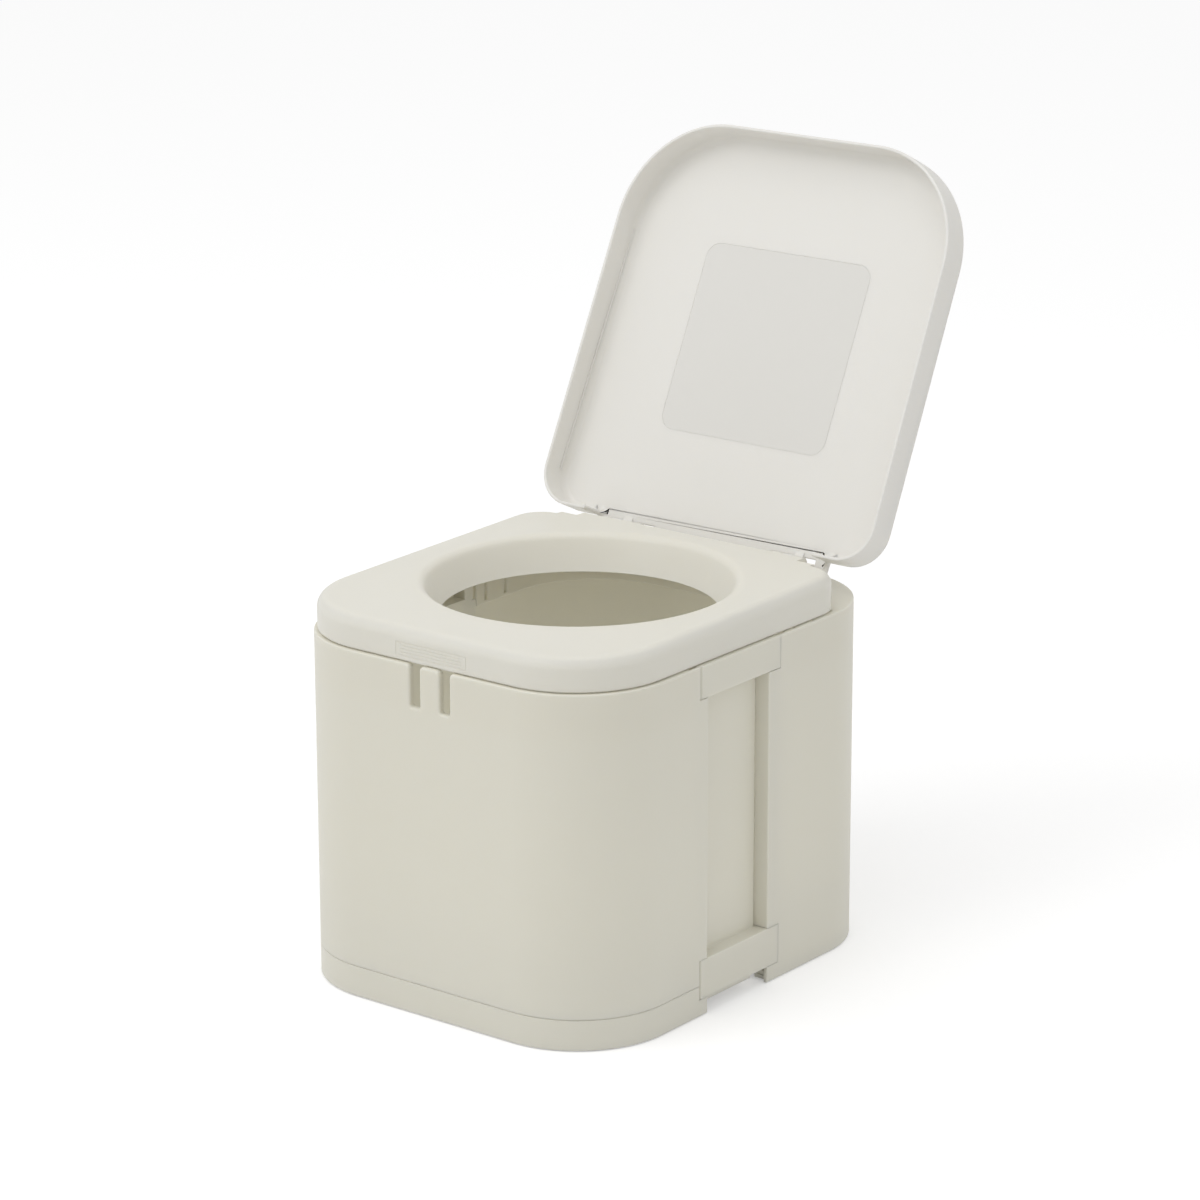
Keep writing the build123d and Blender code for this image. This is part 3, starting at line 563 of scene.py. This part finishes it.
def one_piece_screw(name, head, length, faces_up):
    """A screw turned from its outline, with the cross recess cut into its head."""
    shank = head[-1][0]
    outline = [*head, (shank, -length), (0.0, -length)]
    work = bmesh.new()
    line = [work.verts.new((radius, 0, height)) for radius, height in outline]
    edges = [work.edges.new(pair) for pair in zip(line, line[1:])]
    bmesh.ops.spin(
        work, geom=line + edges, cent=(0, 0, 0), axis=(0, 0, 1), angle=math.tau, steps=SCREW_STEPS
    )
    bmesh.ops.remove_doubles(work, verts=work.verts, dist=1e-6)
    bmesh.ops.recalc_face_normals(work, faces=work.faces)
    mesh = bpy.data.meshes.new(name)
    work.to_mesh(mesh)
    work.free()
    a, b = RECESS_ARM, RECESS_HALF_WIDTH
    quarter = [Vector((x, y, CUTTER_ABOVE)) for x, y in ((a, -b), (a, b), (b, b))]
    turns = [Matrix.Rotation(math.pi / 2 * step, 3, "Z") for step in range(4)]
    cross = [turned @ corner for turned in turns for corner in quarter]
    cutter = thick_plate(name + "_recess", cross, (0, 0, -CUTTER_ABOVE - RECESS_DEPTH))
    screw = link_new(name, mesh)
    cut = screw.modifiers.new("recess", "BOOLEAN")
    cut.object = cutter
    cut.solver = "EXACT"
    settle(screw)
    bpy.data.objects.remove(cutter)
    if not faces_up:
        screw.data.transform(Matrix.Rotation(math.pi, 4, "X"))
    screw.data.shade_smooth()
    screw.data.set_sharp_from_angle(angle=SHARP_FROM)
    return screw


for node, head, faces_up, body in (
    ("bracket_screws", SUNK_HEAD, True, "rear"),
    ("base_screws", ROUND_HEAD, False, "front"),
    ("floor_screws", ROUND_HEAD, True, "rear"),
):
    boxes = separate_solids(node)
    low, high = boxes[0]
    model = one_piece_screw(node + "_model", head, high.z - low.z, faces_up)
    points = bpy.data.meshes.new(node + "_cross_head")
    points.from_pydata(
        [((a.x + b.x) / 2, (a.y + b.y) / 2, b.z if faces_up else a.z) for a, b in boxes], [], []
    )
    screws = screw_set.grow(points.name, points, Screw=model, Material=steel.material)
    bpy.data.objects.remove(model)
    dress(screws, steel.material, body, "steel", node)

# Feet. Soft black rubber plugs, one under each corner, pressed by their stems into the bosses
# of the floors from below.
rubber = Finish("foot_rubber_soft", IOR=1.5)
rubber.feed(
    rubber.surface.inputs["Base Color"],
    rubber.blend(rubber.noise(300.0), (0.03, 0.03, 0.03, 1), (0.06, 0.06, 0.058, 1)),
)
rubber.feed(rubber.surface.inputs["Roughness"], rubber.noise(900.0) * 0.2 + 0.6)
for node in ("front_right_foot", "front_left_foot", "rear_right_foot", "rear_left_foot"):
    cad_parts[node].data.materials[0] = rubber.material

# Studio. A pale paper floor that shows white, a white surround, wide soft lamps above the front
# and the top, and a faint one that lifts the inside of the body.
FLOOR_REACH = 30.0
FLOOR_LIFT = 0.35
SURROUND_LIGHT = 0.74
floor_mesh = bpy.data.meshes.new("studio_floor")
corners = ((-1, -1), (1, -1), (1, 1), (-1, 1))
floor_mesh.from_pydata([(x * FLOOR_REACH, y * FLOOR_REACH, 0) for x, y in corners], [], [range(4)])
floor = link_new("studio_floor", floor_mesh)
paper = Finish("floor_paper", Roughness=0.9)
paper.surface.inputs["Specular IOR Level"].default_value = 0.0
paper.surface.inputs["Base Color"].default_value = (0.8, 0.8, 0.8, 1)
paper.surface.inputs["Emission Color"].default_value = (1, 1, 1, 1)
paths = paper.node("ShaderNodeLightPath", output="Is Camera Ray")
glossy = paper.node("ShaderNodeLightPath", output="Is Glossy Ray")
paper.feed(paper.surface.inputs["Emission Strength"], (paths + glossy) * FLOOR_LIFT)
floor.data.materials.append(paper.material)

world = bpy.data.worlds.new("studio")
bpy.context.scene.world = world
world.use_nodes = True
sky = world.node_tree
lit = sky.nodes["Background"]
lit.inputs["Color"].default_value = (1, 1, 1, 1)
lit.inputs["Strength"].default_value = SURROUND_LIGHT
seen = sky.nodes.new("ShaderNodeBackground")
seen.inputs["Color"].default_value = (1, 1, 1, 1)
seen.inputs["Strength"].default_value = 1.0
rays = sky.nodes.new("ShaderNodeLightPath")
either = sky.nodes.new("ShaderNodeMath")
either.operation = "MAXIMUM"
sky.links.new(rays.outputs["Is Camera Ray"], either.inputs[0])
sky.links.new(rays.outputs["Is Transmission Ray"], either.inputs[1])
choose = sky.nodes.new("ShaderNodeMixShader")
sky.links.new(either.outputs[0], choose.inputs[0])
sky.links.new(lit.outputs[0], choose.inputs[1])
sky.links.new(seen.outputs[0], choose.inputs[2])
sky.links.new(choose.outputs[0], sky.nodes["World Output"].inputs["Surface"])


def soft_lamp(name, spot, target, size, power):
    lamp = bpy.data.lights.new(name, "AREA")
    lamp.shape = "SQUARE"
    lamp.size = size
    lamp.energy = power
    holder = link_new(name, lamp)
    aim = Vector(target) - Vector(spot)
    facing = aim.to_track_quat("-Z", "Y").to_matrix().to_4x4()
    holder.matrix_world = Matrix.Translation(spot) @ facing
    return holder


soft_lamp("front_softbox", (-0.8, -1.8, 2.7), (0, 0, 0.25), 1.8, 20)
soft_lamp("top_softbox", (0.1, -0.25, 2.6), (0, -0.05, 0.25), 1.0, 4.5)
inside = soft_lamp("inside_fill", (0, -0.06, 0.05), (0, -0.0601, 0.25), 0.2, 0.15)
inside.visible_camera = False
inside.visible_glossy = False

# Camera, at the photograph's own viewing angle.
CAMERA_SPOT = (1.92883, -2.50819, 1.21166)
CAMERA_AIM = (-0.58981, 0.75455, -0.28772)
CAMERA_ROLL = 0.149
CAMERA_LENS = 132.46
eye = bpy.data.cameras.new("camera")
eye.lens = CAMERA_LENS
eye.sensor_width = 36.0
eye.clip_end = 100.0
camera = link_new("camera", eye)
facing = Vector(CAMERA_AIM).to_track_quat("-Z", "Y").to_matrix().to_4x4()
roll = Matrix.Rotation(math.radians(-CAMERA_ROLL), 4, "Z")
camera.matrix_world = Matrix.Translation(CAMERA_SPOT) @ facing @ roll
bpy.context.scene.camera = camera
bpy.context.scene.view_settings.view_transform = "Standard"
